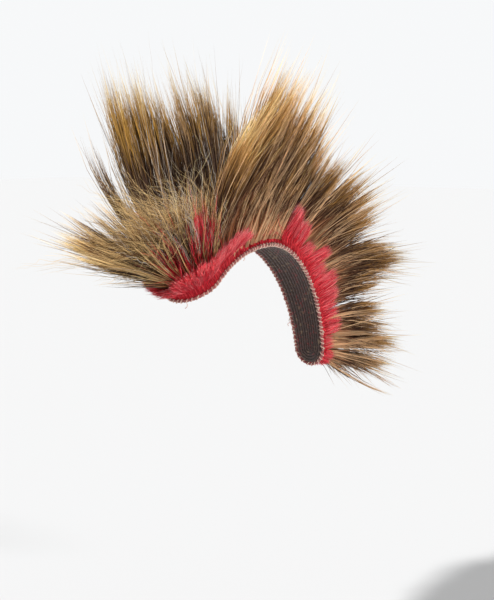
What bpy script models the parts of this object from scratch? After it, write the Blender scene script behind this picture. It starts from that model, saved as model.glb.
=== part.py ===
"""Hair roach: a crest headdress of long guard hair and red deer hair.

A woven strip arches from the top of the forehead over the crown to the nape.
Long hair is tied in locks along both its edges and round its two ends, and a
short red fringe stands outside the long hair. Metres, +Z up. The wearer faces
-Y and their left is +X. The origin is the underside of the strip at the crown.
"""

import math
from collections import namedtuple

import bmesh
import bpy
import numpy as np
from mathutils import Matrix, Vector

for item in list(bpy.data.objects):
    bpy.data.objects.remove(item, do_unlink=True)

# Driving dimensions. Lengths are in metres and angles in degrees.
# The strip lies on two quarter ellipses that meet at the crown.
FRONT_REACH = 0.098
FRONT_DROP = 0.095
FRONT_END = 53.5
BACK_REACH = 0.072
BACK_DROP = 0.100
BACK_END = 88.0
SIDE_RADIUS = 0.075
FRONT_HALF_WIDTH = 0.021
TAIL_HALF_WIDTH = 0.011
STRIP_THICKNESS = 0.004
EDGE_CORD_DIAMETER = 0.0026

# Each run of hair is folded over a thread roll that is sewn down on the strip.
FRINGE_ROLL_INSET = 0.0025
FRINGE_ROLL_DIAMETER = 0.0032
HAIR_ROLL_INSET = 0.0070
HAIR_ROLL_DIAMETER = 0.0040
ROLL_END = 0.0016
ROLL_STEP = 0.0065
EDGE_ROUNDING = 0.0008
GAP = 0.0003

LONG_HAIR = 0.150
LONG_LOCK_WIDTH = 0.019
LONG_LOCK_THICKNESS = 0.013
FRINGE_HAIR = 0.036
FRINGE_LOCK_WIDTH = 0.012
FRINGE_LOCK_THICKNESS = 0.0050
LOCK_FILL = 0.92

# A lock's place is its share of the way round half the strip's outline, from
# 0 at the front to 1 at the tail, and negative on the wearer's right. Its
# length is a share of LONG_HAIR. Side is how far it leans sideways, lean how
# far it leans back from upright, and bend how much it curves back on its way.
Lock = namedtuple("Lock", "place length side lean bend")

LEFT_LOCKS = (
    Lock(0.190, 0.95, 27, -16, 48),
    Lock(0.228, 1.01, 27, -11, 48),
    Lock(0.265, 1.06, 27, -9, 44),
    Lock(0.302, 1.09, 27, -8, 34),
    Lock(0.340, 0.99, 27, -5, 24),
    Lock(0.380, 0.86, 27, -1, 18),
    Lock(0.421, 0.78, 27, 3, 14),
    Lock(0.463, 0.76, 27, 5, 10),
    Lock(0.504, 0.60, 27, 15, 10),
    Lock(0.546, 0.59, 27, 23, 10),
    Lock(0.587, 0.59, 27, 35, 23),
    Lock(0.628, 0.61, 27, 41, 30),
    Lock(0.666, 0.56, 27, 47, 28),
    Lock(0.703, 0.56, 27, 67, 46),
    Lock(0.738, 0.65, 27, 72, 50),
    Lock(0.774, 0.54, 27, 70, 34),
    Lock(0.810, 0.45, 27, 70, 26),
    Lock(0.845, 0.42, 27, 80, 28),
    Lock(0.880, 0.47, 27, 88, 20),
    Lock(0.912, 0.50, 25, 95, 14),
)

RIGHT_LOCKS = (
    Lock(-0.126, 1.13, -28, 1, 25),
    Lock(-0.163, 1.09, -28, 2, 23),
    Lock(-0.200, 1.04, -28, 3, 16),
    Lock(-0.237, 0.99, -28, 4, 6),
    Lock(-0.274, 0.98, -28, 7, -4),
    Lock(-0.311, 1.02, -28, 11, -4),
    Lock(-0.348, 1.02, -28, 13, -3),
    Lock(-0.385, 1.02, -28, 16, 2),
    Lock(-0.423, 0.98, -28, 18, 7),
    Lock(-0.463, 0.98, -28, 21, 9),
    Lock(-0.504, 0.84, -28, 22, 14),
    Lock(-0.546, 0.72, -27, 27, 24),
    Lock(-0.587, 0.65, -27, 36, 28),
    Lock(-0.628, 0.60, -27, 44, 26),
    Lock(-0.666, 0.56, -27, 51, 26),
    Lock(-0.703, 0.57, -27, 59, 28),
    Lock(-0.738, 0.55, -27, 68, 28),
    Lock(-0.774, 0.50, -27, 74, 26),
    Lock(-0.810, 0.52, -27, 80, 22),
    Lock(-0.845, 0.49, -27, 88, 22),
    Lock(-0.880, 0.51, -27, 93, 20),
    Lock(-0.912, 0.50, -25, 98, 18),
)

FRONT_LOCKS = (
    Lock(-0.096, 0.92, -22, -22, 24),
    Lock(-0.072, 0.86, -19, -31, 10),
    Lock(-0.048, 0.81, -15, -47, 4),
    Lock(-0.024, 0.83, -10, -59, 5),
    Lock(0.000, 0.87, -6, -70, 0),
    Lock(0.026, 0.88, 0, -74, 0),
    Lock(0.052, 0.62, 6, -54, 18),
    Lock(0.080, 0.65, 10, -48, 16),
    Lock(0.108, 0.65, 14, -44, 20),
    Lock(0.134, 0.61, 18, -38, 22),
    Lock(0.160, 0.56, 21, -32, 25),
)

# Places past 1 carry on round the tail to the wearer's right.
BACK_LOCKS = (
    Lock(0.960, 0.55, 15, 104, 12),
    Lock(0.987, 0.53, 5, 106, 10),
    Lock(1.013, 0.55, -5, 106, 10),
    Lock(1.040, 0.54, -15, 104, 12),
)

# The red bunches stand off the strip's own surface, so theirs is a table of
# angles from it. Length is a share of FRINGE_HAIR, spread how far a bunch leans
# out from square to the strip, and forward how far it leans along the edge
# towards the front. Past the front, the wearer's right mirrors the left.
Fringe = namedtuple("Fringe", "place length spread forward")

FRINGE_SHAPE = (
    Fringe(-0.122, 0.50, 38, 6),
    Fringe(-0.073, 0.56, 32, 0),
    Fringe(-0.024, 0.61, 33, 0),
    Fringe(0.000, 0.66, 39, 0),
    Fringe(0.024, 0.78, 35, 0),
    Fringe(0.049, 1.00, 28, 0),
    Fringe(0.098, 1.08, 27, 0),
    Fringe(0.122, 0.90, 27, 5),
    Fringe(0.155, 0.83, 27, 0),
    Fringe(0.244, 0.86, 34, 0),
    Fringe(0.289, 0.52, 36, 0),
    Fringe(0.334, 0.30, 38, 0),
    Fringe(0.379, 0.24, 36, 0),
    Fringe(0.468, 0.24, 32, 5),
    Fringe(0.513, 0.96, 28, 25),
    Fringe(0.557, 0.74, 28, 27),
    Fringe(0.602, 0.44, 31, 5),
    Fringe(0.647, 0.67, 31, 5),
    Fringe(0.691, 0.46, 29, 13),
    Fringe(0.736, 0.64, 29, 15),
    Fringe(0.781, 0.56, 29, 15),
    Fringe(0.826, 0.47, 29, 14),
    Fringe(0.870, 0.50, 32, 8),
    Fringe(0.915, 0.28, 34, 6),
    Fringe(0.950, 0.30, 34, -3),
    Fringe(1.000, 0.36, 34, 0),
)

# A lock's thickness and width along its length, as shares of the full size.
Swell = namedtuple("Swell", "along size")

LONG_SWELL = (
    Swell(0.00, 0.22),
    Swell(0.12, 0.45),
    Swell(0.34, 0.84),
    Swell(0.60, 1.00),
    Swell(0.82, 0.84),
    Swell(0.94, 0.46),
)
FRINGE_SWELL = (
    Swell(0.00, 0.50),
    Swell(0.45, 0.95),
    Swell(0.82, 0.70),
)


# The strip's middle line, measured along its underside from front to tail.

def arch_point(angle):
    """Y and Z on the arch at an angle from the crown, negative in front."""
    turn = math.radians(angle)
    reach = FRONT_REACH if angle < 0 else BACK_REACH
    drop = FRONT_DROP if angle < 0 else BACK_DROP
    return reach * math.sin(turn), drop * (math.cos(turn) - 1)


arch_angles = np.linspace(-FRONT_END, BACK_END, 400)
arch = np.array([arch_point(angle) for angle in arch_angles])
arch_run = np.concatenate([[0.0], np.cumsum(np.hypot(*np.diff(arch, axis=0).T))])
STRIP_LENGTH = float(arch_run[-1])

FRONT_ARC = math.pi / 2 * FRONT_HALF_WIDTH
TAIL_ARC = math.pi / 2 * TAIL_HALF_WIDTH
STRAIGHT = STRIP_LENGTH - FRONT_HALF_WIDTH - TAIL_HALF_WIDTH
HALF_OUTLINE = FRONT_ARC + STRAIGHT + TAIL_ARC


def middle(distance):
    """Point, forward-to-back direction and upward normal on the arch."""
    inside = min(max(distance, 0.0), STRIP_LENGTH)
    angle = float(np.interp(inside, arch_run, arch_angles))
    turn = math.radians(angle)
    reach = FRONT_REACH if angle < 0 else BACK_REACH
    drop = FRONT_DROP if angle < 0 else BACK_DROP
    along = Vector((0, reach * math.cos(turn), -drop * math.sin(turn))).normalized()
    point = Vector((0, *arch_point(angle))) + along * (distance - inside)
    return point, along, Vector((0, -along.z, along.y))


def on_strip(distance, across, height):
    """Point over the strip, and the directions along it and away from it."""
    point, along, up = middle(distance)
    outward = (up + Vector((across / SIDE_RADIUS, 0, 0))).normalized()
    point = point + Vector((across, 0, 0)) - up * across**2 / (2 * SIDE_RADIUS)
    return point + outward * height, along, outward


def half_width(distance):
    """Half the strip's width: round front, straight taper, round tail."""
    if distance < FRONT_HALF_WIDTH:
        short = FRONT_HALF_WIDTH - distance
        return math.sqrt(max(FRONT_HALF_WIDTH**2 - short**2, 0))
    if distance > STRIP_LENGTH - TAIL_HALF_WIDTH:
        past = distance - (STRIP_LENGTH - TAIL_HALF_WIDTH)
        return math.sqrt(max(TAIL_HALF_WIDTH**2 - past**2, 0))
    share = (distance - FRONT_HALF_WIDTH) / STRAIGHT
    return FRONT_HALF_WIDTH + (TAIL_HALF_WIDTH - FRONT_HALF_WIDTH) * share


def edge_place(place, inset, height):
    """Point, up, out and onward directions at a place round the outline."""
    place = (place + 1) % 2 - 1
    hand = -1.0 if place < 0 else 1.0
    way = abs(place) * HALF_OUTLINE
    if way < FRONT_ARC:
        turn = way / FRONT_HALF_WIDTH
        radius = FRONT_HALF_WIDTH - inset
        distance = FRONT_HALF_WIDTH - radius * math.cos(turn)
        across = radius * math.sin(turn)
    elif way < FRONT_ARC + STRAIGHT:
        turn = math.pi / 2
        distance = FRONT_HALF_WIDTH + way - FRONT_ARC
        across = half_width(distance) - inset
    else:
        turn = math.pi / 2 + (way - FRONT_ARC - STRAIGHT) / TAIL_HALF_WIDTH
        radius = TAIL_HALF_WIDTH - inset
        distance = STRIP_LENGTH - TAIL_HALF_WIDTH - radius * math.cos(turn)
        across = radius * math.sin(turn)
    point, along, up = on_strip(distance, hand * across, height)
    sideways = along.cross(up) * hand
    out = sideways * math.sin(turn) - along * math.cos(turn)
    onward = (along * math.sin(turn) + sideways * math.cos(turn)) * hand
    return point, up, out, onward


def slope(side, lean):
    """Unit direction that leans sideways and then back from upright."""
    side, lean = math.radians(side), math.radians(lean)
    return Vector((math.sin(side), math.cos(side) * math.sin(lean),
                   math.cos(side) * math.cos(lean)))


# Collections, materials and the shared ways of making a piece.

pieces = bpy.data.collections.new("hair_roach")
bpy.context.scene.collection.children.link(pieces)
cutters = bpy.data.collections.new("cutters")
bpy.context.scene.collection.children.link(cutters)


def plain_material(name, colour, roughness):
    material = bpy.data.materials.new(name)
    material.use_nodes = True
    shader = material.node_tree.nodes["Principled BSDF"]
    shader.inputs["Base Color"].default_value = (*colour, 1)
    shader.inputs["Roughness"].default_value = roughness
    shader.inputs["Metallic"].default_value = 0.0
    return material


woven = plain_material("woven_strip", (0.045, 0.030, 0.024), 0.9)
thread = plain_material("edge_thread", (0.66, 0.42, 0.36), 0.8)
red_hair = plain_material("red_deer_hair", (0.42, 0.012, 0.030), 0.6)
brown_hair = plain_material("brown_guard_hair", (0.120, 0.055, 0.024), 0.55)
gold_hair = plain_material("gold_guard_hair", (0.30, 0.175, 0.060), 0.55)


def add_object(name, mesh, material, collection):
    item = bpy.data.objects.new(name, mesh)
    item.data.materials.append(material)
    collection.objects.link(item)
    return item


def tube(name, points, diameter, material, closed, collection):
    """A round cord through the points, as a mesh with its caps welded."""
    curve = bpy.data.curves.new(name, "CURVE")
    curve.dimensions = "3D"
    curve.bevel_depth = diameter / 2
    curve.bevel_resolution = 2
    curve.use_fill_caps = True
    spline = curve.splines.new("POLY")
    spline.points.add(len(points) - 1)
    for knot, point in zip(spline.points, points):
        knot.co = (*point, 1)
    spline.use_cyclic_u = closed
    route = add_object(name + "_route", curve, material, cutters)
    bpy.context.view_layer.update()
    view = bpy.context.evaluated_depsgraph_get()
    mesh = bpy.data.meshes.new_from_object(route.evaluated_get(view))
    bpy.data.objects.remove(route, do_unlink=True)
    weld = bmesh.new()
    weld.from_mesh(mesh)
    bmesh.ops.remove_doubles(weld, verts=weld.verts, dist=0.00001)
    bmesh.ops.recalc_face_normals(weld, faces=weld.faces)
    weld.to_mesh(mesh)
    weld.free()
    mesh.shade_smooth()
    return add_object(name, mesh, material, collection)


def extrude_lock(bm, centres, widths, thicknesses, across):
    """A closed six-sided lock, extruded ring by ring and drawn to a point."""
    before = None
    for k in range(len(widths)):
        ahead = (centres[k + 1] - centres[max(k - 1, 0)]).normalized()
        wide = (across - ahead * across.dot(ahead)).normalized()
        turn = Matrix((wide, ahead.cross(wide), ahead)).transposed().to_4x4()
        size = Matrix.Diagonal((widths[k] / 2, thicknesses[k] / 2, 1, 1))
        ring = Matrix.Translation(centres[k]) @ turn @ size
        if before is None:
            made = bmesh.ops.create_circle(bm, cap_ends=True, segments=6,
                                           radius=1, matrix=ring)
            face = made["verts"][0].link_faces[0]
        else:
            below = face
            made = bmesh.ops.extrude_face_region(bm, geom=[below])["geom"]
            face = next(g for g in made if isinstance(g, bmesh.types.BMFace))
            if k > 1:
                bmesh.ops.delete(bm, geom=[below], context="FACES_ONLY")
            bmesh.ops.transform(bm, verts=face.verts,
                                matrix=ring @ before.inverted())
        before = ring
    bmesh.ops.pointmerge(bm, verts=list(face.verts), merge_co=centres[-1])


def centre_line(root, direction_at, length, shares):
    """Points at shares of the length, walked from the root in short steps."""
    steps = 24
    walk = [root.copy()]
    for k in range(steps):
        walk.append(walk[-1] + direction_at((k + 0.5) / steps) * length / steps)
    points = []
    for share in shares:
        k = min(int(share * steps), steps - 1)
        points.append(walk[k].lerp(walk[k + 1], share * steps - k))
    return points


def tied_run(name, places, directions, lengths, width, thickness, swell,
             roll_inset, roll_diameter, material):
    """Locks side by side along an edge, fused to the roll they are tied to."""
    height = STRIP_THICKNESS + GAP + roll_diameter / 2
    shares = [s.along for s in swell] + [1.0]
    lines = []
    for place, direction_at, length in zip(places, directions, lengths):
        root = edge_place(place, roll_inset, height)[0]
        lines.append(centre_line(root, direction_at, length, shares))

    bm = bmesh.new()
    for i, line in enumerate(lines):
        beside = [lines[j] for j in (i - 1, i + 1) if 0 <= j < len(lines)]
        room = [min((line[k] - other[k]).length for other in beside)
                for k in range(len(swell))]
        widths = [min(width * step.size, LOCK_FILL * clear)
                  for step, clear in zip(swell, room)]
        widths[0] = min(width, LOCK_FILL * room[0])
        body = thickness * (0.4 + 0.6 * lengths[i] / max(lengths))
        extrude_lock(bm, line, widths, [body * step.size for step in swell],
                     edge_place(places[i], roll_inset, height)[3])
    bmesh.ops.recalc_face_normals(bm, faces=bm.faces)
    mesh = bpy.data.meshes.new(name + "_locks")
    bm.to_mesh(mesh)
    bm.free()
    mesh.shade_smooth()
    locks = add_object(name + "_locks", mesh, material, cutters)
    locks.hide_render = True
    locks.display_type = "WIRE"

    spare = ROLL_END / HALF_OUTLINE
    count = int((places[-1] - places[0]) * HALF_OUTLINE / ROLL_STEP) + 4
    route = [edge_place(place, roll_inset, height)[0]
             for place in np.linspace(places[0] - spare, places[-1] + spare, count)]
    roll = tube(name, route, roll_diameter, material, False, pieces)
    union = roll.modifiers.new("locks", "BOOLEAN")
    union.operation = "UNION"
    union.solver = "EXACT"
    union.use_self = True
    union.object = locks
    return roll


def long_run(name, locks, material):
    """A run of long hair from a table of its locks."""
    locks = sorted(locks, key=lambda lock: lock.place)

    def path(lock):
        return lambda share: slope(lock.side, lock.lean + lock.bend * (share - 0.5))

    return tied_run(name, [lock.place for lock in locks],
                    [path(lock) for lock in locks],
                    [lock.length * LONG_HAIR for lock in locks],
                    LONG_LOCK_WIDTH, LONG_LOCK_THICKNESS, LONG_SWELL,
                    HAIR_ROLL_INSET, HAIR_ROLL_DIAMETER, material)


def fringe_run(name, first, last, count):
    """A run of short red bunches, which lean as the table of the fringe says."""
    places = [first + (last - first) * k / (count - 1) for k in range(count)]
    directions = []
    lengths = []
    for place in places:
        folded = (place + 1) % 2 - 1
        hand = 1 if folded > 0 else -1
        if folded < FRINGE_SHAPE[0].place:
            folded = -folded
        length, spread, forward = [
            float(np.interp(folded, [f.place for f in FRINGE_SHAPE],
                            [getattr(f, column) for f in FRINGE_SHAPE]))
            for column in ("length", "spread", "forward")]
        _, up, out, onward = edge_place(place, FRINGE_ROLL_INSET, STRIP_THICKNESS)
        way = (Matrix.Rotation(math.radians(spread), 3, up.cross(out)) @ up)
        way = (way * math.cos(math.radians(forward))
               - onward * hand * math.sin(math.radians(forward)))
        directions.append(lambda share, way=way: way)
        lengths.append(FRINGE_HAIR * length)
    return tied_run(name, places, directions, lengths, FRINGE_LOCK_WIDTH,
                    FRINGE_LOCK_THICKNESS, FRINGE_SWELL, FRINGE_ROLL_INSET,
                    FRINGE_ROLL_DIAMETER, red_hair)


# The woven strip: a grid bent over the arch, then given its thickness.

def woven_strip():
    across_cells = 6
    nose = [FRONT_HALF_WIDTH * (1 - math.cos(math.radians(a))) for a in (13, 33, 52, 71)]
    tail = [STRIP_LENGTH - TAIL_HALF_WIDTH * (1 - math.cos(math.radians(a)))
            for a in (71, 52, 33, 13)]
    straight = np.linspace(FRONT_HALF_WIDTH, STRIP_LENGTH - TAIL_HALF_WIDTH, 25)
    stations = [*nose, *straight, *tail]
    bm = bmesh.new()
    bmesh.ops.create_grid(bm, x_segments=across_cells,
                          y_segments=len(stations) - 1, size=0.5)
    for vert in bm.verts:
        distance = stations[round((vert.co.y + 0.5) * (len(stations) - 1))]
        across = vert.co.x * 2 * half_width(distance)
        vert.co = on_strip(distance, across, 0.0)[0]
    bmesh.ops.recalc_face_normals(bm, faces=bm.faces)
    middle_face = min(bm.faces, key=lambda face: face.calc_center_median().length)
    if middle_face.normal.z < 0:
        bmesh.ops.reverse_faces(bm, faces=bm.faces)
    mesh = bpy.data.meshes.new("woven_strip")
    bm.to_mesh(mesh)
    bm.free()
    strip = add_object("woven_strip", mesh, woven, pieces)
    wall = strip.modifiers.new("thickness", "SOLIDIFY")
    wall.thickness = STRIP_THICKNESS
    wall.offset = 1.0
    wall.use_even_offset = True
    edge = strip.modifiers.new("worn_edge", "BEVEL")
    edge.width = EDGE_ROUNDING
    edge.segments = 1
    edge.limit_method = "ANGLE"
    edge.angle_limit = math.radians(50)
    return strip


# The edge cord: twisted thread bound round the whole outline of the strip.

def edge_cord():
    radius = EDGE_CORD_DIAMETER / 2
    front = FRONT_ARC / HALF_OUTLINE
    tail = TAIL_ARC / HALF_OUTLINE
    half = [*np.linspace(0, front, 9)[:-1],
            *np.linspace(front, 1 - tail, 22)[:-1],
            *np.linspace(1 - tail, 1, 7)]
    places = half + [-place for place in reversed(half[1:-1])]
    route = [edge_place(place, -radius - GAP, STRIP_THICKNESS / 2)[0]
             for place in places]
    return tube("edge_cord", route, EDGE_CORD_DIAMETER, thread, True, pieces)


woven_strip()
edge_cord()

fringe_run("red_fringe_front", -0.122, 0.122, 11)
fringe_run("red_fringe_left", 0.155, 0.915, 18)
fringe_run("red_fringe_right", -0.915, -0.155, 18)
fringe_run("red_fringe_back", 0.952, 1.048, 4)

long_run("hair_left", LEFT_LOCKS, brown_hair)
long_run("hair_right", RIGHT_LOCKS, brown_hair)
long_run("hair_front", FRONT_LOCKS, gold_hair)
long_run("hair_back", BACK_LOCKS, brown_hair)
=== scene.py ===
"""Looks of the hair roach: yarn strip, bound edge, guard hair and red fringe."""

import math

import bpy
import numpy as np
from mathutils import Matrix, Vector


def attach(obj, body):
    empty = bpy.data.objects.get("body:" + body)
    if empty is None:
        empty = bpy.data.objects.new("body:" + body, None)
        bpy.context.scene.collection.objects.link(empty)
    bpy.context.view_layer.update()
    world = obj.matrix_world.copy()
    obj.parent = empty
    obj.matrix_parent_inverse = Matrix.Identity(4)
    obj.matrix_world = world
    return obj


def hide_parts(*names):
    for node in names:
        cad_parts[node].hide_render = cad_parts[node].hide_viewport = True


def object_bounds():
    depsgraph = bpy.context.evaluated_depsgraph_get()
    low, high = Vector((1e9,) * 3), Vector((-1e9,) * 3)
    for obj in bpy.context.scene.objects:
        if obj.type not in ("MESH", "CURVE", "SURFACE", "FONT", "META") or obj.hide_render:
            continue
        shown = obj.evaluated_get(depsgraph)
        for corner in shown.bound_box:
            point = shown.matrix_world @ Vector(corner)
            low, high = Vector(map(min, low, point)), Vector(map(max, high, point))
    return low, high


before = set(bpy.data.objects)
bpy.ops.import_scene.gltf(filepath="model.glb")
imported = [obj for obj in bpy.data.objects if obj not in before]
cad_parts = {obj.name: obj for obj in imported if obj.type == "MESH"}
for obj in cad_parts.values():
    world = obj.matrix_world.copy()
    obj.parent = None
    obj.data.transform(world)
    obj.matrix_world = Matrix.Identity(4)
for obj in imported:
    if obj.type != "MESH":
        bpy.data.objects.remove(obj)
solids_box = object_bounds()

# Camera: a little above level and turned to the wearer's left of straight in
# front, far off with a long lens, as a plain studio picture is taken. The crown
# of the strip lands on crown_pixel.

picture_width, picture_height = 494, 600
metres_per_pixel = 0.000752
crown_pixel = (250, 243)
camera_turn = math.radians(40)
camera_rise = math.radians(5)
camera_distance = 1.7
film_width = 36.0

camera_back = Vector((math.sin(camera_turn) * math.cos(camera_rise),
                      -math.cos(camera_turn) * math.cos(camera_rise),
                      math.sin(camera_rise)))
camera_right = Vector((math.cos(camera_turn), math.sin(camera_turn), 0))
camera_up = camera_back.cross(camera_right)
aim = (camera_right * (picture_width / 2 - crown_pixel[0])
       - camera_up * (picture_height / 2 - crown_pixel[1])) * metres_per_pixel

lens = bpy.data.cameras.new("camera")
lens.sensor_width = film_width
lens.lens = camera_distance / metres_per_pixel * film_width / picture_height
camera = bpy.data.objects.new("camera", lens)
camera.location = aim + camera_back * camera_distance
camera.rotation_euler = camera_back.to_track_quat("Z", "Y").to_euler()
bpy.context.scene.collection.objects.link(camera)
bpy.context.scene.camera = camera
bpy.context.scene.view_settings.view_transform = "Standard"


# Woven strip: rounds of thick dark wool yarn, each twisted from two plies and
# sewn to the next, so that they make one flat tapering strip that arches over
# the head. The yarn is nearly black, with a few red and tan flecks.

# The arch is a quarter ellipse forward of the crown and another behind it. Each
# has its reach and its drop, and the angle in degrees at which the strip ends.
front_reach, front_drop, front_end = 0.098, 0.095, 53.5
back_reach, back_drop, back_end = 0.072, 0.100, 88.0
side_radius = 0.075
front_half_width, tail_half_width = 0.021, 0.011
strip_thickness = 0.004

arch_readings = 800
arch_angles = np.linspace(-front_end, back_end, arch_readings)


def arch_at(angle):
    """Points and slopes on the two quarter ellipses, at angles in degrees."""
    turn = np.radians(angle)
    reach = np.where(angle < 0, front_reach, back_reach)
    drop = np.where(angle < 0, front_drop, back_drop)
    point = np.stack([0 * turn, reach * np.sin(turn), drop * (np.cos(turn) - 1)], -1)
    slope = np.stack([0 * turn, reach * np.cos(turn), -drop * np.sin(turn)], -1)
    return point, slope / np.linalg.norm(slope, axis=-1, keepdims=True)


arch_steps = np.linalg.norm(np.diff(arch_at(arch_angles)[0], axis=0), axis=1)
arch_run = np.concatenate([[0.0], np.cumsum(arch_steps)])
strip_length = arch_run[-1]
front_arc = math.pi / 2 * front_half_width
tail_arc = math.pi / 2 * tail_half_width
straight_run = strip_length - front_half_width - tail_half_width
half_outline = front_arc + straight_run + tail_arc


def unit(vectors):
    return vectors / np.maximum(np.linalg.norm(vectors, axis=-1, keepdims=True), 1e-12)


def width_at(place):
    """Half the strip's width at places round its outline."""
    way = np.abs((place + 1) % 2 - 1) * half_outline
    share = np.clip((way - front_arc) / straight_run, 0, 1)
    return front_half_width + (tail_half_width - front_half_width) * share


def edge_place(place, inset, height):
    """Points round the outline, with their up, out and onward directions."""
    place = (np.asarray(place, float) + 1) % 2 - 1
    hand = np.where(place < 0, -1.0, 1.0)
    way = np.abs(place) * half_outline
    nose = way < front_arc
    tail = way > front_arc + straight_run
    turn = np.where(nose, way / front_half_width, math.pi / 2)
    turn = np.where(tail, math.pi / 2 + (way - front_arc - straight_run) / tail_half_width, turn)
    across = (width_at(place) - inset) * np.sin(turn)
    distance = front_half_width + way - front_arc
    distance = np.where(
        nose, front_half_width - (front_half_width - inset) * np.cos(turn), distance)
    distance = np.where(
        tail, strip_length - tail_half_width - (tail_half_width - inset) * np.cos(turn), distance)
    inside = np.clip(distance, 0, strip_length)
    point, along = arch_at(np.interp(inside, arch_run, arch_angles))
    point = point + along * (distance - inside)[..., None]
    up = np.stack([0 * across, -along[..., 2], along[..., 1]], -1)
    across = hand * across
    sideways = np.zeros_like(up)
    sideways[..., 0] = 1.0
    point = point + sideways * across[..., None] - up * (across**2 / (2 * side_radius))[..., None]
    up = unit(up + sideways * (across / side_radius)[..., None])
    side = np.cross(along, up) * hand[..., None]
    out = side * np.sin(turn)[..., None] - along * np.cos(turn)[..., None]
    onward = (along * np.sin(turn)[..., None] + side * np.cos(turn)[..., None]) * hand[..., None]
    point = point + up * np.asarray(height, float)[..., None]
    return point, up, out, onward


def outline_places(count):
    """Places evenly round the whole outline, the last one before the first."""
    return np.linspace(0, 2, count, endpoint=False)


def add_piece(name, points, faces, material):
    """A mesh piece that rides with the strip."""
    mesh = bpy.data.meshes.new(name)
    mesh.from_pydata(points.tolist(), [], faces)
    mesh.shade_smooth()
    mesh.materials.append(material)
    piece = bpy.data.objects.new(name, mesh)
    bpy.context.scene.collection.objects.link(piece)
    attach(piece, "root")
    return piece


def ring_faces(rings, sides, start, closed):
    """Quads that join rings of points, round a loop or along a capped run."""
    faces = []
    last = rings if closed else rings - 1
    for i in range(last):
        low, high = start + i * sides, start + (i + 1) % rings * sides
        for j in range(sides):
            k = (j + 1) % sides
            faces.append((low + j, low + k, high + k, high + j))
    if not closed:
        faces.append(tuple(start + j for j in reversed(range(sides))))
        faces.append(tuple(start + (rings - 1) * sides + j for j in range(sides)))
    return faces


def wool_fuzz_group():
    """Fine fibre noise for yarn and thread, and flecks where its dye changes."""
    group = bpy.data.node_groups.new("wool_fuzz", "ShaderNodeTree")
    group.interface.new_socket("Fibre Scale", in_out="INPUT", socket_type="NodeSocketFloat")
    for name in ("Shade", "Height", "Fleck", "Fleck Shade"):
        group.interface.new_socket(name, in_out="OUTPUT", socket_type="NodeSocketFloat")
    nodes, links = group.nodes, group.links
    given = nodes.new("NodeGroupInput")
    result = nodes.new("NodeGroupOutput")
    where = nodes.new("ShaderNodeTexCoord")
    fine = nodes.new("ShaderNodeTexNoise")
    fine.inputs["Detail"].default_value = 4
    fine.inputs["Roughness"].default_value = 0.7
    links.new(where.outputs["Object"], fine.inputs["Vector"])
    links.new(given.outputs["Fibre Scale"], fine.inputs["Scale"])
    spread = nodes.new("ShaderNodeMapRange")
    spread.inputs["From Min"].default_value = 0.3
    spread.inputs["From Max"].default_value = 0.7
    links.new(fine.outputs["Fac"], spread.inputs["Value"])
    links.new(spread.outputs["Result"], result.inputs["Shade"])
    links.new(fine.outputs["Fac"], result.inputs["Height"])
    for scale, low, high, name in ((420, 0.57, 0.66, "Fleck"), (90, 0.44, 0.56, "Fleck Shade")):
        patch = nodes.new("ShaderNodeTexNoise")
        patch.inputs["Scale"].default_value = scale
        patch.inputs["Detail"].default_value = 1
        links.new(where.outputs["Object"], patch.inputs["Vector"])
        edge = nodes.new("ShaderNodeMapRange")
        edge.inputs["From Min"].default_value = low
        edge.inputs["From Max"].default_value = high
        links.new(patch.outputs["Fac"], edge.inputs["Value"])
        links.new(edge.outputs["Result"], result.inputs[name])
    return group


wool_fuzz = wool_fuzz_group()


def yarn_material(name, dark, light, flecks, fibre_scale, bump_distance):
    """Matt twisted thread in two shades, with flecks between two other dyes."""
    material = bpy.data.materials.new(name)
    material.use_nodes = True
    nodes, links = material.node_tree.nodes, material.node_tree.links
    shader = nodes["Principled BSDF"]
    shader.inputs["Roughness"].default_value = 0.92
    shader.inputs["Sheen Weight"].default_value = 0.25
    shader.inputs["Sheen Roughness"].default_value = 0.6
    fuzz = nodes.new("ShaderNodeGroup")
    fuzz.node_tree = wool_fuzz
    fuzz.inputs["Fibre Scale"].default_value = fibre_scale
    colour = nodes.new("ShaderNodeMix")
    colour.data_type = "RGBA"
    colour.inputs["A"].default_value = (*dark, 1)
    colour.inputs["B"].default_value = (*light, 1)
    links.new(fuzz.outputs["Shade"], colour.inputs["Factor"])
    dyes = nodes.new("ShaderNodeMix")
    dyes.data_type = "RGBA"
    dyes.inputs["A"].default_value = (*flecks[0], 1)
    dyes.inputs["B"].default_value = (*flecks[1], 1)
    links.new(fuzz.outputs["Fleck Shade"], dyes.inputs["Factor"])
    dyed = nodes.new("ShaderNodeMix")
    dyed.data_type = "RGBA"
    links.new(fuzz.outputs["Fleck"], dyed.inputs["Factor"])
    links.new(colour.outputs["Result"], dyed.inputs["A"])
    links.new(dyes.outputs["Result"], dyed.inputs["B"])
    links.new(dyed.outputs["Result"], shader.inputs["Base Color"])
    bump = nodes.new("ShaderNodeBump")
    bump.inputs["Strength"].default_value = 0.6
    bump.inputs["Distance"].default_value = bump_distance
    links.new(fuzz.outputs["Height"], bump.inputs["Height"])
    links.new(bump.outputs["Normal"], shader.inputs["Normal"])
    return material


def twisted_rope(centre, side, up, half_wide, half_high, lays, plies, ply_depth, sides):
    """Ring points of a rope whose plies wind round it while it goes on."""
    rings = len(centre)
    around = np.linspace(0, 2 * math.pi, sides, endpoint=False)
    wind = np.linspace(0, 2 * math.pi * lays, rings, endpoint=False)[:, None]
    swell = 1 - ply_depth * (0.5 + 0.5 * np.cos(plies * (around[None, :] - wind)))
    x = np.cos(around) * swell * np.asarray(half_wide)[:, None]
    y = np.sin(around) * swell * half_high
    points = (centre[:, None, :] + side[:, None, :] * x[..., None]
              + up[:, None, :] * y[..., None])
    return points.reshape(-1, 3)


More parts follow.
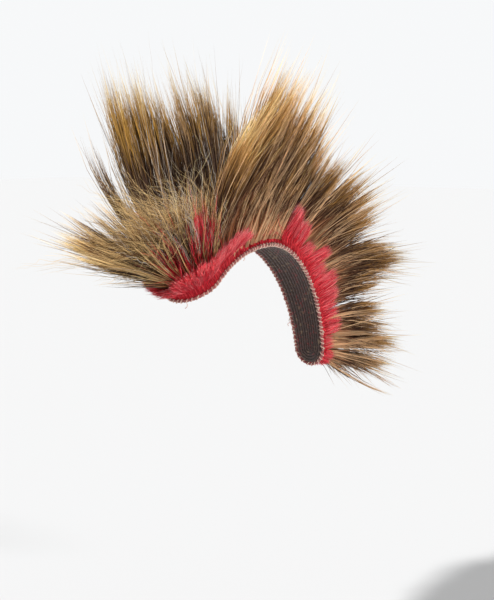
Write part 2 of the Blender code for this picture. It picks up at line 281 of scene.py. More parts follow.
yarn_rounds = 5
yarn_twist_length = 0.0065
yarn_rings_per_twist = 7
yarn_sides = 9
yarn_plies = 2
yarn_ply_depth = 0.13
# Half a round's width, as a share of its lane. Above a half, rounds overlap.
yarn_half_width = 0.59
# Twists are counted on a run that is this share of the outline at the middle.
middle_run = 0.75


def yarn_strip_mesh():
    """Points and faces of the rounds of yarn, from the middle to the rim."""
    points, faces = [], []
    for number in range(yarn_rounds):
        share = (number + 0.5) / yarn_rounds
        run = 2 * half_outline * (middle_run + (1 - middle_run) * share)
        twists = round(run / yarn_twist_length)
        places = outline_places(twists * yarn_rings_per_twist)
        widths = width_at(places)
        centre, up, out, _ = edge_place(places, widths * (1 - share), strip_thickness / 2)
        start = sum(len(block) for block in points)
        points.append(twisted_rope(centre, out, up, widths / yarn_rounds * yarn_half_width,
                                   strip_thickness / 2, twists, yarn_plies, yarn_ply_depth,
                                   yarn_sides))
        faces += ring_faces(len(places), yarn_sides, start, True)
    return np.concatenate(points), faces


strip_wool = yarn_material("strip_wool", (0.016, 0.009, 0.008), (0.085, 0.040, 0.030),
                           ((0.16, 0.020, 0.022), (0.17, 0.11, 0.065)), 1400, 0.0006)
strip = add_piece("yarn_strip", *yarn_strip_mesh(), strip_wool)
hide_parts("woven_strip")


# Edge cord: red and rose thread twisted together and laid round the rim of the
# strip, whipped down with a thin cream thread, with a few loose curled ends
# where the thread was cut.

cord_radius = 0.0013
cord_gap = 0.0003
cord_twist_length = 0.0045
cord_rings_per_twist = 8
cord_sides = 8
cord_plies = 2
cord_ply_depth = 0.34


def cord_line(rings):
    """The cord's centre line round the rim, with its up and out directions."""
    return edge_place(outline_places(rings), -cord_radius - cord_gap, strip_thickness / 2)[:3]


cord_twists = round(2 * half_outline / cord_twist_length)
cord_rings = cord_twists * cord_rings_per_twist
cord_centre, cord_up, cord_out = cord_line(cord_rings)
cord_points = twisted_rope(cord_centre, cord_out, cord_up, np.full(cord_rings, cord_radius),
                           cord_radius, cord_twists, cord_plies, cord_ply_depth, cord_sides)
cord_thread = yarn_material("cord_thread", (0.16, 0.014, 0.018), (0.50, 0.16, 0.14),
                            ((0.62, 0.36, 0.28), (0.05, 0.020, 0.016)), 900, 0.0003)
cord = add_piece("twisted_edge_cord", cord_points, ring_faces(cord_rings, cord_sides, 0, True),
                 cord_thread)
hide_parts("edge_cord")

whip_pitch = 0.0036
whip_rings_per_turn = 9
whip_radius = 0.00040
whip_sides = 4
# Slow waves by which the turns crowd and open, each as a size and a slowness.
whip_waves = ((1.1, 7.3), (0.7, 2.9))
# The thread bites into the cord, but turns stand off it a little where a slow
# wave along it is above loose_from.
whip_lift = 0.0001
loose_lift = 0.0005
loose_from, loose_slowness = 0.6, 5.1

curl_count = 18
curl_rings = 12
curl_radius = whip_radius * 0.7
curl_root = -cord_radius * 1.6
curl_wide, curl_high = 0.0013, 0.0011
curl_run = (0.0025, 0.0060)
curl_wind = (3, 8)
last_curl = 0.92


def whip_path():
    """The thread's line round the cord, with two directions square to it."""
    turns = round(2 * half_outline / whip_pitch)
    rings = turns * whip_rings_per_turn
    centre, up, out = cord_line(rings)
    even = np.linspace(0, 2 * math.pi * turns, rings, endpoint=False)
    turn = even
    for size, slowness in whip_waves:
        turn = turn + size * np.sin(even / slowness)
    spoke = out * np.cos(turn)[:, None] + up * np.sin(turn)[:, None]
    loose = np.clip(np.sin(turn / loose_slowness) - loose_from, 0, 1)
    path = centre + spoke * (cord_radius + whip_lift + loose_lift * loose)[:, None]
    binormal = unit(np.cross(np.roll(path, -1, 0) - np.roll(path, 1, 0), spoke))
    return path, spoke, binormal


def curl_path(place, rng):
    """A cut end that curls away from the rim, with two directions square to it."""
    step = np.linspace(0, 1, curl_rings)
    root, up, out, onward = (each[0] for each in edge_place(
        np.array([place]), curl_root, strip_thickness / 2))
    way = unit(out * rng.uniform(0.2, 1) + onward * rng.normal() - up * rng.uniform(-0.2, 0.8))
    bend = unit(np.cross(way, rng.normal(size=3)))
    lift = np.cross(way, bend)
    wind = rng.uniform(*curl_wind) * step
    path = (root + np.outer(step * rng.uniform(*curl_run), way)
            + np.outer(np.sin(wind) * curl_wide * step, bend)
            + np.outer((1 - np.cos(wind)) * curl_high * step, lift))
    ahead = unit(np.gradient(path, axis=0))
    side = unit(np.cross(ahead, lift + 0 * ahead))
    return path, side, np.cross(ahead, side)


def plain_thread(path, side, up, radius):
    """Ring points of a thin thread with no twist to be seen."""
    return twisted_rope(path, side, up, np.full(len(path), radius), radius, 0, 1, 0.0, whip_sides)


def whip_mesh():
    """Points and faces of the whipping and of its loose ends."""
    rng = np.random.default_rng(5)
    path, spoke, binormal = whip_path()
    points = [plain_thread(path, spoke, binormal, whip_radius)]
    faces = ring_faces(len(path), whip_sides, 0, True)
    for place in rng.uniform(-last_curl, last_curl, curl_count):
        faces += ring_faces(curl_rings, whip_sides, sum(len(block) for block in points), False)
        points.append(plain_thread(*curl_path(place, rng), curl_radius))
    return np.concatenate(points), faces


cream_thread = yarn_material("cream_thread", (0.52, 0.30, 0.24), (0.86, 0.66, 0.52),
                             ((0.90, 0.72, 0.60), (0.60, 0.24, 0.22)), 1500, 0.0002)
whip = add_piece("cream_whip_thread", *whip_mesh(), cream_thread)


# Long hair: stiff guard hair, laid over a thread roll and tied a few hairs at a
# time along the strip. It is dark brown, then gold, with a fine cream tip, and
# clings in thin strands that gather in the locks of the tables below.

roll_inset = 0.0070
roll_radius = 0.0020
long_hair = 0.150

# place is the share of the way round half the outline, negative on the right.
# length is a share of long_hair. side, lean and bend are angles in degrees.
left_locks = (
    # place, length, side, lean, bend
    (0.190, 0.84, 27, -12, 62), (0.228, 0.94, 27, -8, 62), (0.265, 1.05, 27, -7, 52),
    (0.302, 1.10, 27, -8, 36), (0.340, 0.99, 27, -5, 24), (0.380, 0.86, 27, -1, 18),
    (0.421, 0.78, 27, 3, 14), (0.463, 0.76, 27, 5, 10), (0.504, 0.60, 27, 15, 10),
    (0.546, 0.59, 27, 23, 10), (0.587, 0.59, 27, 35, 23), (0.628, 0.61, 27, 41, 30),
    (0.666, 0.56, 27, 47, 28), (0.703, 0.56, 27, 67, 46), (0.738, 0.65, 27, 72, 50),
    (0.774, 0.54, 27, 70, 34), (0.810, 0.45, 27, 70, 26), (0.845, 0.42, 27, 80, 28),
    (0.880, 0.47, 27, 88, 20), (0.912, 0.50, 25, 95, 14),
)
right_locks = (
    (-0.126, 1.13, -28, 1, 25), (-0.163, 1.09, -28, 2, 23), (-0.200, 1.04, -28, 3, 16),
    (-0.237, 0.99, -28, 4, 6), (-0.274, 0.98, -28, 7, -4), (-0.311, 1.02, -28, 11, -4),
    (-0.348, 1.02, -28, 13, -3), (-0.385, 1.02, -28, 16, 2), (-0.423, 0.98, -28, 18, 7),
    (-0.463, 0.98, -28, 21, 9), (-0.504, 0.84, -28, 22, 14), (-0.546, 0.72, -27, 27, 24),
    (-0.587, 0.65, -27, 36, 28), (-0.628, 0.60, -27, 44, 26), (-0.666, 0.56, -27, 51, 26),
    (-0.703, 0.57, -27, 59, 28), (-0.738, 0.55, -27, 68, 28), (-0.774, 0.50, -27, 74, 26),
    (-0.810, 0.52, -27, 80, 22), (-0.845, 0.49, -27, 88, 22), (-0.880, 0.51, -27, 93, 20),
    (-0.912, 0.50, -25, 98, 18),
)

# Hair finds its colour in a map of so many tones, and its line is walked in
# so many steps.
hair_tones = 96
walk_steps = 24
# Stray tips may pass the solids' box by a little, more where the box is longer.
stray_least, stray_share = 0.008, 0.03
box_low, box_high = np.array(solids_box[0]), np.array(solids_box[1])
stray_margin = stray_least + stray_share * (box_high - box_low)
box_low, box_high = box_low - stray_margin, box_high + stray_margin


def leaning(side, lean):
    """Unit directions that lean sideways and then back from upright."""
    side, lean = np.radians(side), np.radians(lean)
    return np.stack([np.sin(side) + 0 * lean, np.cos(side) * np.sin(lean),
                     np.cos(side) * np.cos(lean)], -1)


def hair_paths(root, length, side, lean, bend):
    """Each hair's centre line, walked in short steps along its own bend."""
    share = (np.arange(walk_steps) + 0.5) / walk_steps
    way = leaning(side[:, None], lean[:, None] + bend[:, None] * (share[None, :] - 0.5))
    steps = way * (length[:, None, None] / walk_steps)
    return root[:, None, :] + np.concatenate(
        [np.zeros((len(root), 1, 3)), np.cumsum(steps, axis=1)], axis=1)


def at_shares(paths, shares):
    """Points on the walked paths at shares of their length, one row per hair."""
    spot = np.clip(shares, 0, 1) * walk_steps
    low = np.minimum(spot.astype(int), walk_steps - 1)
    part = (spot - low)[..., None]
    rows = np.arange(len(paths))[:, None]
    return paths[rows, low] * (1 - part) + paths[rows, low + 1] * part


# The corners of a hair, as angles round it in radians.
hair_corners = (0.0, 2.094, 4.189)
# A hair keeps between these shares of its tone's column, and off the map's ends.
column_edges = (0.12, 0.88)
map_edge = 0.01


def inside_box(paths):
    """The same lines, each shortened until it stays in the box for stray tips."""
    root = paths[:, :1]
    span = paths - root
    moves = np.abs(span) > 1e-6
    room = np.where(span > 0, box_high - root, box_low - root)
    fit = np.where(moves, room / np.where(moves, span, 1.0), 1.0)
    return root + span * np.clip(fit.min(axis=(1, 2)), 0.1, 1.0)[:, None, None]


def hair_block(paths, bands, radius, tone, seed):
    """Points, faces and colour map of three-sided hairs that end in points.

    The map has a column for each tone across and the bands of colour up it, so
    every hair finds its own tone and its own stretch of colour on it.
    """
    paths = inside_box(paths)
    count, knots = bands.shape
    rings = knots - 1
    ahead = unit(np.gradient(paths, axis=1))
    rng = np.random.default_rng(seed)
    helper = unit(rng.normal(size=(count, 1, 3)))
    first = unit(np.cross(ahead, helper))
    second = np.cross(ahead, first)
    around = np.stack([paths + (first * math.cos(angle) + second * math.sin(angle))
                       * radius[..., None] for angle in hair_corners], axis=2)
    points = np.concatenate([around[:, :rings].reshape(count, rings * 3, 3),
                             paths[:, -1:]], axis=1)
    left, right = ((tone + edge) / hair_tones for edge in column_edges)
    along = map_edge + (1 - 2 * map_edge) * np.clip(bands, 0, 1)

    quads, quad_uv = [], []
    for i in range(rings - 1):
        for j in range(3):
            k = (j + 1) % 3
            quads.append((i * 3 + j, i * 3 + k, i * 3 + 3 + k, i * 3 + 3 + j))
            quad_uv.append([(left, along[:, i]), (right, along[:, i]),
                            (right, along[:, i + 1]), (left, along[:, i + 1])])
    triangles, triangle_uv = [(2, 1, 0)], [[(left, along[:, 0]), (right, along[:, 0]),
                                            (left, along[:, 0] * 0)]]
    last = (rings - 1) * 3
    for j in range(3):
        triangles.append((last + j, last + (j + 1) % 3, rings * 3))
        triangle_uv.append([(left, along[:, -2]), (right, along[:, -2]),
                            ((left + right) / 2, along[:, -1])])
    start = (np.arange(count) * (rings * 3 + 1))[:, None, None]
    quads = (start + np.array(quads)[None]).reshape(-1, 4)
    triangles = (start + np.array(triangles)[None]).reshape(-1, 3)
    quad_uv = np.array(quad_uv).transpose(3, 0, 1, 2).reshape(-1, 2)
    triangle_uv = np.array(triangle_uv).transpose(3, 0, 1, 2).reshape(-1, 2)
    return points.reshape(-1, 3), quads, triangles, quad_uv, triangle_uv


def hair_piece(name, blocks, material):
    """One mesh of all the hairs in the blocks, riding with the strip."""
    mesh = bpy.data.meshes.new(name)
    starts = np.cumsum([0] + [len(block[0]) for block in blocks])
    points = np.concatenate([block[0] for block in blocks])
    quads = np.concatenate([block[1] + start for block, start in zip(blocks, starts)])
    triangles = np.concatenate([block[2] + start for block, start in zip(blocks, starts)])
    uv = np.concatenate([block[3] for block in blocks] + [block[4] for block in blocks])
    corners = np.concatenate([quads.reshape(-1), triangles.reshape(-1)])
    sizes = np.concatenate([np.full(len(quads), 4), np.full(len(triangles), 3)])
    mesh.vertices.add(len(points))
    mesh.vertices.foreach_set("co", points.reshape(-1))
    mesh.loops.add(len(corners))
    mesh.loops.foreach_set("vertex_index", corners.astype(np.int32))
    mesh.polygons.add(len(sizes))
    mesh.polygons.foreach_set("loop_start", (np.cumsum(sizes) - sizes).astype(np.int32))
    mesh.update(calc_edges=True)
    mesh.uv_layers.new(name="OFBake").uv.foreach_set("vector", uv.reshape(-1))
    mesh.validate()
    mesh.shade_smooth()
    mesh.materials.append(material)
    piece = bpy.data.objects.new(name, mesh)
    bpy.context.scene.collection.objects.link(piece)
    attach(piece, "root")
    return piece


furthest_chance = 2.2


def around_zero(rng, width, size):
    """Normal chances with their far ends cut off."""
    return rng.normal(0, 1, size).clip(-furthest_chance, furthest_chance) * width


# How uneven hair is. Spreads of directions are in degrees and sizes in metres.
# Ranges are shares of what is given, but for two sets of waves in radians.
lock_side_spread, lock_lean_spread = 1.2, 0.8
lock_length_range = (0.93, 1.03)
lock_pale_range = (0.30, 1.70)
short_tuft_power = 1.2
tuft_root_width = 0.0020
tuft_bend_spread = 8.0
tuft_sway, sway_waves = 0.0020, (2.0, 6.0)
root_scatter = 0.0006
strand_side_spread, strand_lean_spread, strand_bend_spread = 1.2, 1.0, 2.0
strand_length_range = (0.86, 1.0)
strand_narrowing = 0.75
gather_power = 1.3
tone_spread = 0.20
tone_scatter = 14
knot_scatter = 0.15
hair_length_range = (0.80, 1.05)
loose_length_range = (1.0, 1.22)
loose_wander, bound_wander, wander_power = 0.0085, 0.0004, 1.4
loose_thinness = 0.8
hair_kink = 0.00016
hair_radius_range = (0.7, 1.3)
hair_taper = 0.75
crimp_length_range, crimp_size_range, crimp_waves = (0.8, 1.3), (0.3, 1.0), (0, 6.28)
# Ends turn over from this share of a hair, mostly to the wearer's right,
# forward and down.
hook_from, hook_power, hook_range = 0.62, 1.7, (0.4, 1.0)
hook_way = np.array((-1.3, -0.9, -0.5))
# The shortest hair shows this share of the colours from root to tip.
least_bands = 0.45


def tied_hair(locks, tufts, strands, hairs_each, gold, seed, fill=((-2, 1), (2, 1)), knots=4,
              thickness=0.00027, width=0.00030, reach=(0.55, 1.05), gather=(0.20, 0.85),
              splay=4.2, stray=0.16, crinkle=0.0, hook=0.0, curl_length=0.007, start_at=0.0,
              mix=(0.64, 0.10), tied_at=roll_inset):
    """A block of hair in tufts of thin strands, gathered in the locks of a table.

    There are so many tufts, strands in each tuft and hairs in each strand. Gold
    and fill are tables of places with the share of pale tufts there and how
    thickly the hair is set, and mix is the share of pale strands in a pale tuft
    and in a dark one. Crinkle and hook are how far hairs wave, and how far
    their ends turn over.
    """
    rng = np.random.default_rng(seed)
    table = np.array(sorted(locks))
    lock_place = table[:, 0]
    gap = np.gradient(lock_place)
    height = strip_thickness + cord_gap + roll_radius
    shortest, longest = reach

    def natural(place, length_share, side_change, lean_change, bend_change, inset):
        length = np.interp(place, lock_place, table[:, 1]) * long_hair * length_share
        side = np.interp(place, lock_place, table[:, 2]) + side_change
        lean = np.interp(place, lock_place, table[:, 3]) + lean_change
        bend = np.interp(place, lock_place, table[:, 4]) + bend_change
        root = edge_place(place, inset, np.full(len(place), height))[0]
        return hair_paths(root, length, side, lean, bend)

    weight = table[:, 1] * gap * np.interp(lock_place, *np.array(fill, float).T)
    lock = np.sort(rng.choice(len(table), size=tufts, p=weight / weight.sum()))
    lock_side = around_zero(rng, lock_side_spread, len(table))
    lock_lean = around_zero(rng, lock_lean_spread, len(table))
    lock_reach = rng.uniform(*lock_length_range, len(table))
    lock_gather = rng.uniform(*gather, len(table))
    lock_pale = rng.uniform(*lock_pale_range, len(table))
    tuft_place = lock_place[lock] + gap[lock] * rng.uniform(-0.5, 0.5, tufts)
    tuft_side = lock_side[lock] + around_zero(rng, splay, tufts)
    tuft_lean = lock_lean[lock] + around_zero(rng, splay * 0.5, tufts)
    shortening = (longest - shortest) * rng.random(tufts)**short_tuft_power
    tuft_share = (longest - shortening) * lock_reach[lock]
    golden = rng.random(tufts) < np.interp(tuft_place, *np.array(gold, float).T) * lock_pale[lock]
    pale_share = np.where(golden, *mix)

    count = tufts * strands
    tuft = np.repeat(np.arange(tufts), strands)
    lock = lock[tuft]
    place = tuft_place[tuft] + rng.uniform(-0.5, 0.5, count) * tuft_root_width / half_outline
    inset = tied_at + rng.uniform(-roll_radius, roll_radius, tufts)[tuft]
    inset = inset + rng.uniform(-root_scatter, root_scatter, count)
    side = tuft_side[tuft] + around_zero(rng, strand_side_spread, count)
    lean = tuft_lean[tuft] + around_zero(rng, strand_lean_spread, count)
    bend = (around_zero(rng, tuft_bend_spread, tufts)[tuft]
            + around_zero(rng, strand_bend_spread, count))
    share = tuft_share[tuft] * rng.uniform(*strand_length_range, count)
    strand = natural(place, share, side, lean, bend, inset)
    core = natural(lock_place[lock], share, lock_side[lock], lock_lean[lock], 0 * share,
                   np.full(count, tied_at))
    walked = np.linspace(0, 1, walk_steps + 1)[None, :, None]
    pull = lock_gather[lock][:, None, None] * walked**gather_power
    strand = strand * (1 - pull) + core * pull
    sway = around_zero(rng, tuft_sway, (tufts, 1, 3))[tuft]
    turn = rng.uniform(*sway_waves, (tufts, 1, 1))[tuft]
    strand = strand + sway * np.sin(walked * turn) * walked
    shade = np.abs(around_zero(rng, tone_spread, count))
    shade = np.where(rng.random(count) < pale_share[tuft], 1 - shade, shade)

    hairs = count * hairs_each
    mine = np.repeat(np.arange(count), hairs_each)
    _, _, out, along = edge_place(place, inset, 0 * place)
    shares = start_at + (1 - start_at) * np.linspace(0, 1, knots + 1)[None, :]
    shares = shares + np.zeros((hairs, 1))
    shares[:, 1:-1] += rng.uniform(-knot_scatter, knot_scatter, (hairs, knots - 1)) / knots
    stretch = rng.uniform(*hair_length_range, (hairs, 1))
    loose = rng.random((hairs, 1)) < stray
    stretch = np.where(loose, stretch * rng.uniform(*loose_length_range, (hairs, 1)), stretch)
    paths = at_shares(strand[mine], np.minimum(shares * stretch, 1.0))
    over = np.maximum(shares * stretch - 1.0, 0)[..., None]
    paths = paths + over * walk_steps * (strand[mine, -1:] - strand[mine, -2:-1])
    narrow = (1.0 - strand_narrowing * shares)[..., None]
    paths = paths + along[mine][:, None, :] * around_zero(rng, width, (hairs, 1, 1)) * narrow
    paths = paths + out[mine][:, None, :] * around_zero(rng, width, (hairs, 1, 1)) * narrow
    wander = (np.where(loose, loose_wander, bound_wander)[..., None]
              * shares[..., None]**wander_power)
    paths = paths + around_zero(rng, 1, (hairs, 1, 3)) * wander
    paths = paths + rng.normal(0, hair_kink, paths.shape) * np.minimum(shares * 3, 1)[..., None]

    if crinkle:
        length = np.linalg.norm(strand[mine, -1] - strand[mine, 0], axis=1)[:, None]
        crimp = curl_length * rng.uniform(*crimp_length_range, (hairs, 1))
        wave = 2 * math.pi * shares * length / crimp
        for _ in range(2):
            way = unit(rng.normal(size=(hairs, 1, 3)))
            size = crinkle * rng.uniform(*crimp_size_range, (hairs, 1)) * shares
            swing = size * np.sin(wave + rng.uniform(*crimp_waves, (hairs, 1)))
            paths = paths + way * swing[..., None]
    if hook:
        turn = unit(rng.normal(size=(tufts, 1, 3)) + hook_way)[tuft[mine]]
        late = np.maximum(shares - hook_from, 0)[..., None] / (1 - hook_from)
        paths = paths + turn * late**hook_power * hook * rng.uniform(*hook_range, (hairs, 1, 1))

    radius = thickness * rng.uniform(*hair_radius_range, (hairs, 1)) * (1 - hair_taper * shares**2)
    radius = np.where(loose, radius * loose_thinness, radius)
    tone = np.round(shade[mine] * (hair_tones - tone_scatter) + rng.integers(0, tone_scatter, hairs))
    tone = np.clip(tone, 0, hair_tones - 1)
    whole = np.clip(share[mine][:, None] * stretch / longest, least_bands, 1.0)
    return hair_block(paths, shares * whole, radius, tone, seed)


def guard_hair_group():
    """Bands of colour from root to tip, for dark hair and for pale hair.

    A hair's tone mixes the two, and each tone moves its bands a little.
    """
    group = bpy.data.node_groups.new("guard_hair_bands", "ShaderNodeTree")
    for name in ("Root", "Lower", "Middle", "Upper", "Tip",
                 "Pale Root", "Pale Middle", "Pale Tip"):
        group.interface.new_socket(name, in_out="INPUT", socket_type="NodeSocketColor")
    for name in ("Lower At", "Middle At", "Upper At", "Tip At", "Shift", "Contrast"):
        group.interface.new_socket(name, in_out="INPUT", socket_type="NodeSocketFloat")
    group.interface.new_socket("Color", in_out="OUTPUT", socket_type="NodeSocketColor")
    nodes, links = group.nodes, group.links
    given = nodes.new("NodeGroupInput")
    result = nodes.new("NodeGroupOutput")

    def maths(operation, first, second):
        node = nodes.new("ShaderNodeMath")
        node.operation = operation
        for socket, value in zip(node.inputs, (first, second)):
            if isinstance(value, float):
                socket.default_value = value
            else:
                links.new(value, socket)
        return node.outputs["Value"]

    def fade(value, place, width):
        step = nodes.new("ShaderNodeMapRange")
        step.interpolation_type = "SMOOTHSTEP"
        links.new(value, step.inputs["Value"])
        links.new(maths("SUBTRACT", place, width), step.inputs["From Min"])
        links.new(maths("ADD", place, width), step.inputs["From Max"])
        return step.outputs["Result"]

    def mixed(factor, first, second):
        blend = nodes.new("ShaderNodeMix")
        blend.data_type = "RGBA"
        links.new(factor, blend.inputs["Factor"])
        links.new(first, blend.inputs["A"])
        links.new(second, blend.inputs["B"])
        return blend.outputs["Result"]

    colour_map = nodes.new("ShaderNodeUVMap")
    colour_map.uv_map = "OFBake"
    parts = nodes.new("ShaderNodeSeparateXYZ")
    links.new(colour_map.outputs["UV"], parts.inputs["Vector"])
    column = maths("FLOOR", maths("MULTIPLY", parts.outputs["X"], float(hair_tones)), 0.0)
    tone = maths("POWER", maths("DIVIDE", column, float(hair_tones)), 2.0)
    chance = nodes.new("ShaderNodeTexWhiteNoise")
    chance.noise_dimensions = "1D"
    links.new(column, chance.inputs["W"])
    rolls = nodes.new("ShaderNodeSeparateColor")
    links.new(chance.outputs["Color"], rolls.inputs["Color"])
    shift = maths("MULTIPLY", maths("SUBTRACT", rolls.outputs["Red"], 0.5), given.outputs["Shift"])
    along = maths("ADD", parts.outputs["Y"], shift)

    fade_widths = {"Lower At": 0.08, "Middle At": 0.14, "Upper At": 0.11, "Tip At": 0.09}
    lower, middle, upper, tip = (fade(along, given.outputs[stop], width)
                                 for stop, width in fade_widths.items())
    dark = mixed(lower, given.outputs["Root"], given.outputs["Lower"])
    dark = mixed(middle, dark, given.outputs["Middle"])
    dark = mixed(upper, dark, given.outputs["Upper"])
    dark = mixed(tip, dark, given.outputs["Tip"])
    pale = mixed(middle, given.outputs["Pale Root"], given.outputs["Pale Middle"])
    pale = mixed(tip, pale, given.outputs["Pale Tip"])

    shade = nodes.new("ShaderNodeHueSaturation")
    lift = maths("MULTIPLY", maths("SUBTRACT", rolls.outputs["Green"], 0.5),
                 given.outputs["Contrast"])
    links.new(maths("ADD", lift, 1.0), shade.inputs["Value"])
    links.new(mixed(tone, dark, pale), shade.inputs["Color"])
    links.new(shade.outputs["Color"], result.inputs["Color"])
    return group


guard_hair_bands = guard_hair_group()


def hair_material(name, colours, stops, shift, contrast):
    """Stiff hair with a low sheen. Stops are where the dark bands change."""
    material = bpy.data.materials.new(name)
    material.use_nodes = True
    nodes, links = material.node_tree.nodes, material.node_tree.links
    shader = nodes["Principled BSDF"]
    shader.inputs["Roughness"].default_value = 0.5
    shader.inputs["Specular IOR Level"].default_value = 0.18
    bands = nodes.new("ShaderNodeGroup")
    bands.node_tree = guard_hair_bands
    for socket, colour in colours.items():
        bands.inputs[socket].default_value = (*colour, 1)
    for socket, stop in stops.items():
        bands.inputs[socket].default_value = stop
    bands.inputs["Shift"].default_value = shift
    bands.inputs["Contrast"].default_value = contrast
    links.new(bands.outputs["Color"], shader.inputs["Base Color"])
    return material


left_hair_look = hair_material(
    "left_guard_hair",
    {"Root": (0.86, 0.48, 0.26), "Lower": (0.62, 0.27, 0.12), "Middle": (0.044, 0.012, 0.005),
     "Upper": (0.46, 0.23, 0.060), "Tip": (0.96, 0.72, 0.30),
     "Pale Root": (1.0, 0.68, 0.40), "Pale Middle": (1.0, 0.64, 0.35),
     "Pale Tip": (1.0, 0.80, 0.42)},
    {"Lower At": 0.12, "Middle At": 0.26, "Upper At": 0.62, "Tip At": 0.86},
    shift=0.26, contrast=0.8)
right_hair_look = hair_material(
    "right_guard_hair",
    {"Root": (0.18, 0.075, 0.030), "Lower": (0.055, 0.019, 0.008), "Middle": (0.030, 0.009, 0.0035),
     "Upper": (0.42, 0.22, 0.040), "Tip": (0.80, 0.61, 0.28),
     "Pale Root": (0.60, 0.38, 0.20), "Pale Middle": (0.52, 0.33, 0.18),
     "Pale Tip": (1.0, 0.86, 0.60)},
    {"Lower At": 0.08, "Middle At": 0.22, "Upper At": 0.60, "Tip At": 0.86},
    shift=0.30, contrast=0.7)

# Gold tables give the share of pale tufts at places along a row, and fill tables
# how thickly the hair is set there. Under the long locks of the left row stand
# short pale hairs, and single crimped hairs stray over them.
left_gold = ((0.15, 0.24), (0.24, 0.26), (0.32, 0.40), (0.40, 0.22), (0.48, 0.24), (1.0, 0.28))
left_fill = ((0.15, 0.8), (0.24, 1.0), (0.27, 1.5), (0.34, 1.4), (0.40, 1.0), (0.48, 0.8),
             (0.52, 1.0), (0.58, 1.3), (0.74, 1.5), (0.79, 0.9), (0.83, 0.9), (0.87, 1.8),
             (0.92, 1.8))
pale_root_fill = ((0.19, 0.0), (0.28, 0.5), (0.32, 1.0), (0.46, 1.0), (0.50, 0.0))
pale_root_gold = ((0.15, 0.9), (0.5, 0.9))
left_hair = hair_piece("left_long_hair", [
    tied_hair(left_locks, 320, 12, 2, left_gold, 11, fill=left_fill, gather=(0.35, 0.80),
              reach=(0.70, 1.06), thickness=0.00036, width=0.00022, mix=(0.78, 0.03)),
    tied_hair(left_locks, 50, 6, 2, pale_root_gold, 33, fill=pale_root_fill, tied_at=0.0010,
              reach=(0.35, 0.62), gather=(0.0, 0.4), splay=3.0),
    tied_hair(left_locks, 130, 1, 2, left_gold, 31, knots=11, thickness=0.00017, width=0.0020,
              reach=(0.7, 1.06), splay=8.0, gather=(0.0, 0.5), crinkle=0.0010)], left_hair_look)
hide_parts("hair_left")

# More of the left row, where its hair is short and lies back over the nape.
tail_fill = ((0.50, 0.0), (0.58, 0.7), (0.74, 1.2), (0.79, 0.5), (0.83, 0.4), (0.87, 1.4),
             (0.92, 1.4))
tail_gold = ((0.5, 0.5), (1.0, 0.5))
left_tail = hair_piece("left_tail_hair", [
    tied_hair(left_locks, 95, 12, 2, tail_gold, 34, fill=tail_fill, knots=3, thickness=0.00038,
              width=0.00022, reach=(0.70, 1.0), gather=(0.10, 0.45), splay=6.0,
              mix=(0.84, 0.06))], left_hair_look)

right_gold = ((-1.0, 0.34), (-0.5, 0.14), (-0.12, 0.12))
right_fill = ((-0.92, 1.0), (-0.5, 0.9), (-0.4, 1.2), (-0.126, 1.3))
right_hair = hair_piece("right_long_hair", [
    tied_hair(right_locks, 345, 12, 2, right_gold, 12, fill=right_fill, gather=(0.45, 0.90),
              splay=3.4, mix=(0.60, 0.05), thickness=0.00031, width=0.00022)], right_hair_look)
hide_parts("hair_right")

# Single hairs of the right row have crimped and gone grey, and show pale
# between its dark locks.
crimped_hair = hair_material(
    "crimped_guard_hair",
    {"Root": (0.16, 0.09, 0.05), "Lower": (0.18, 0.11, 0.07), "Middle": (0.24, 0.17, 0.12),
     "Upper": (0.42, 0.33, 0.23), "Tip": (0.66, 0.56, 0.42),
     "Pale Root": (0.50, 0.40, 0.30), "Pale Middle": (0.82, 0.77, 0.70),
     "Pale Tip": (0.95, 0.90, 0.80)},
    {"Lower At": 0.15, "Middle At": 0.35, "Upper At": 0.6, "Tip At": 0.85},
    shift=0.3, contrast=0.6)
crimped_gold = ((-1.0, 0.7), (0.0, 0.7))
crimped_fill = ((-0.92, 0.0), (-0.55, 0.1), (-0.47, 1.0), (-0.20, 1.0), (-0.126, 0.4))
right_crimps = hair_piece("right_crimped_hair", [
    tied_hair(right_locks, 150, 1, 2, crimped_gold, 32, fill=crimped_fill, knots=12,
              thickness=0.00017, width=0.0024, reach=(0.6, 1.04), splay=6.0, gather=(0.0, 0.4),
              crinkle=0.0011, start_at=0.25)], crimped_hair)


# Back tuft: the same hair carried round the narrow tail of the strip, and two
# stiff wisps that have worked loose below it.

back_locks = (
    (0.960, 0.55, 15, 104, 12), (0.987, 0.53, 5, 106, 10),
    (1.013, 0.55, -5, 106, 10), (1.040, 0.54, -15, 104, 12),
)
loose_wisps = (
    (0.985, 0.58, 23, 115, 8), (0.998, 0.56, 23, 121, -26),
)
back_gold = ((0.9, 0.5), (1.1, 0.5))
back_hair = hair_piece("back_tuft", [
    tied_hair(back_locks, 85, 12, 2, back_gold, 13, thickness=0.00034, width=0.00022,
              reach=(0.65, 1.0)),
    tied_hair(loose_wisps, 4, 4, 2, back_gold, 15, splay=0.6, gather=(0.94, 0.99), width=0.0003,
              thickness=0.00022, reach=(0.85, 1.05), stray=0.1)], left_hair_look)
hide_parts("hair_back")


# Front tuft: hair tied round the broad front of the strip. On the wearer's
# right it fans out long and thin. On their left it is shorter and its ends
# have crimped and matted into gold curls.

